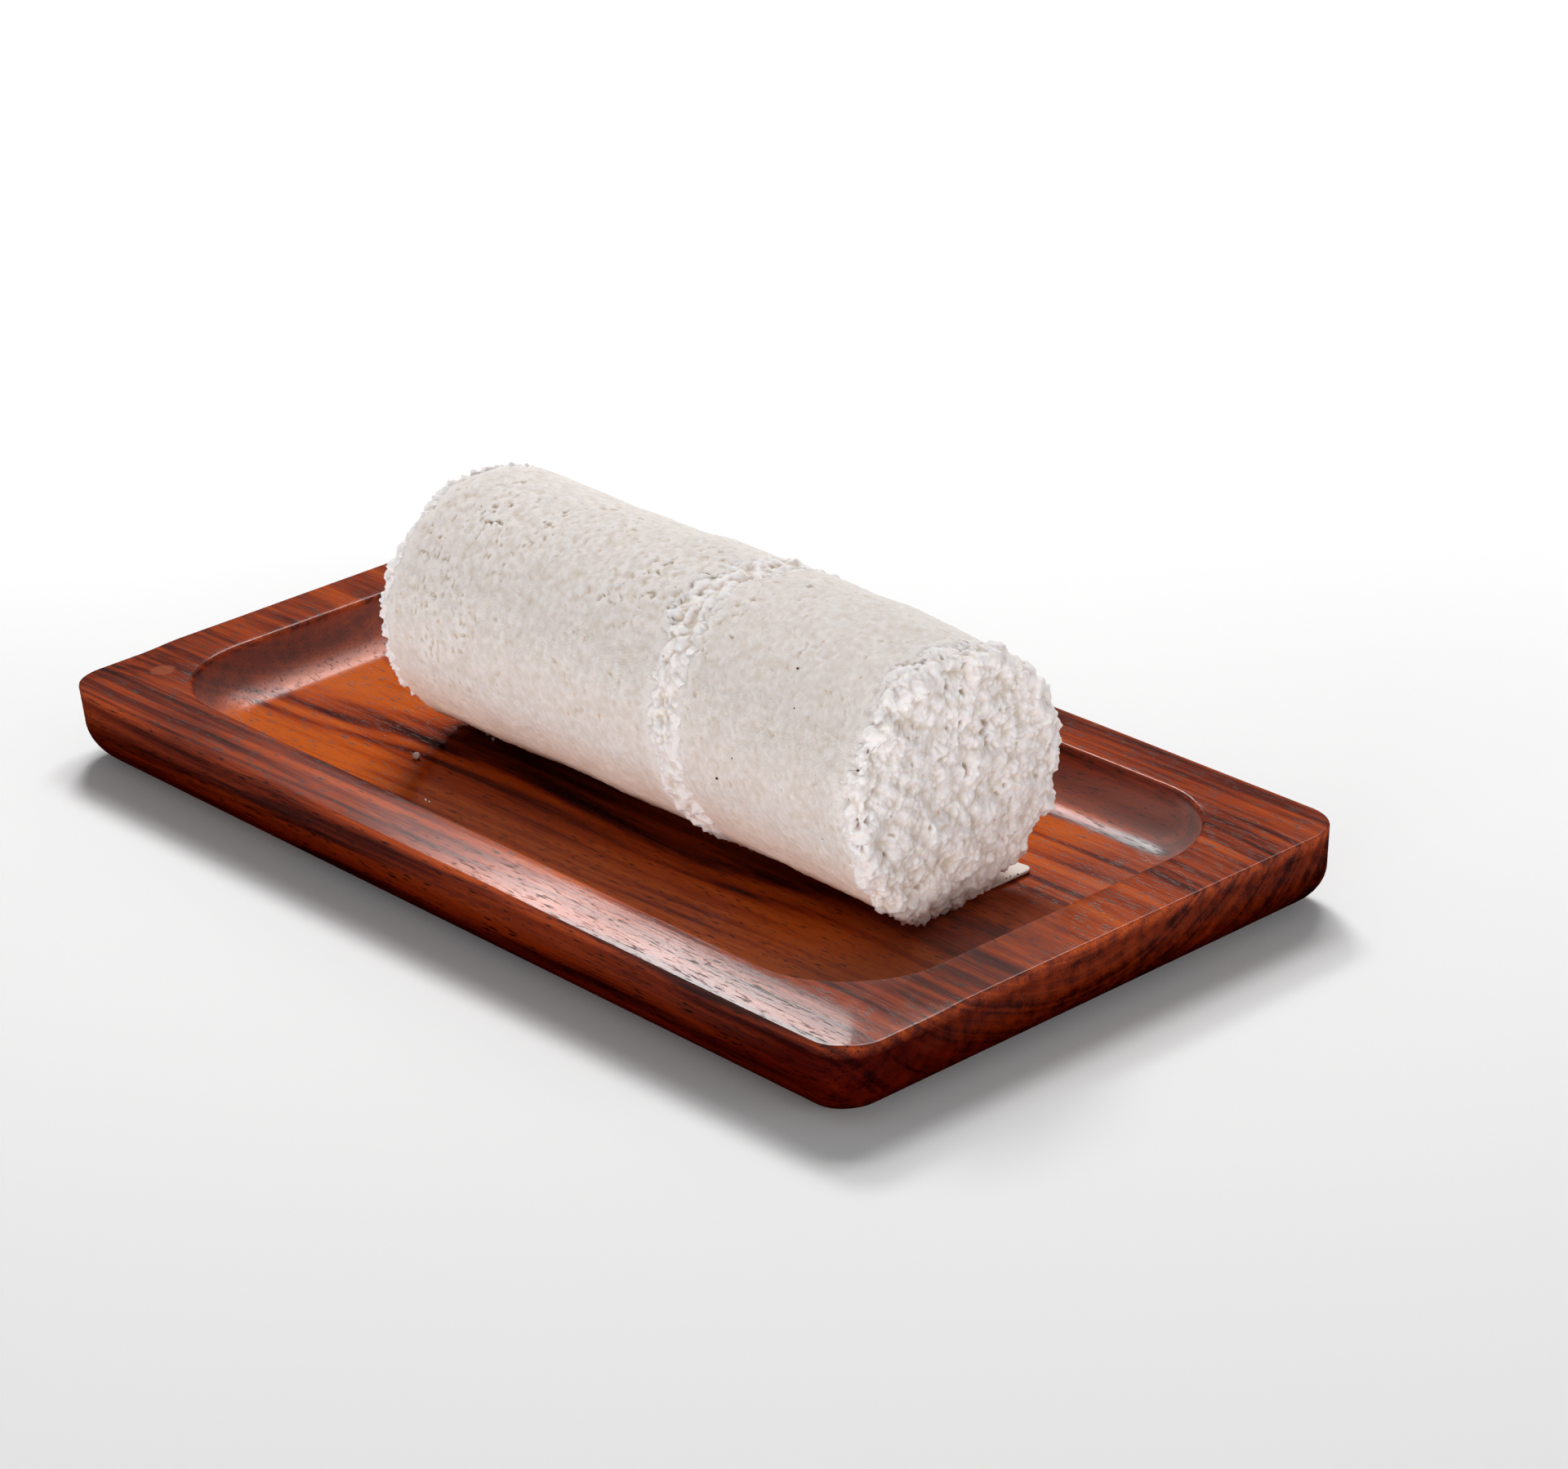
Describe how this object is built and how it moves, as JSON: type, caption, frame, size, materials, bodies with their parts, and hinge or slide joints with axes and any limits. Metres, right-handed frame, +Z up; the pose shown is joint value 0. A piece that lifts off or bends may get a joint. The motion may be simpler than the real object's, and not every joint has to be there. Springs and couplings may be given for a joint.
{
  "type": "plate of puttu",
  "caption": "Rectangular hardwood plate with a round-cornered sunken well, holding a steamed log of rice flour with layers of grated coconut.",
  "frame": {"origin": "middle of the plate's flat underside", "axes": "+X along the plate's length, towards the puttu's open crumbly end; +Y across the plate; +Z up"},
  "size_m": [0.28, 0.15, 0.0722],
  "materials": {
    "rosewood": "oiled and lacquered, red-brown with dark streaks, satin gloss",
    "steamed_rice": "moist crumbly off-white rice flour, matte",
    "grated_coconut": "loose white coconut crumb, matte"
  },
  "bodies": {
    "root": {"plate": "rosewood", "puttu_rear_coconut": "grated_coconut", "puttu_rear_rice": "steamed_rice", "puttu_middle_coconut": "grated_coconut", "puttu_front_rice": "steamed_rice", "puttu_front_coconut": "grated_coconut"}
  },
  "joints": []
}
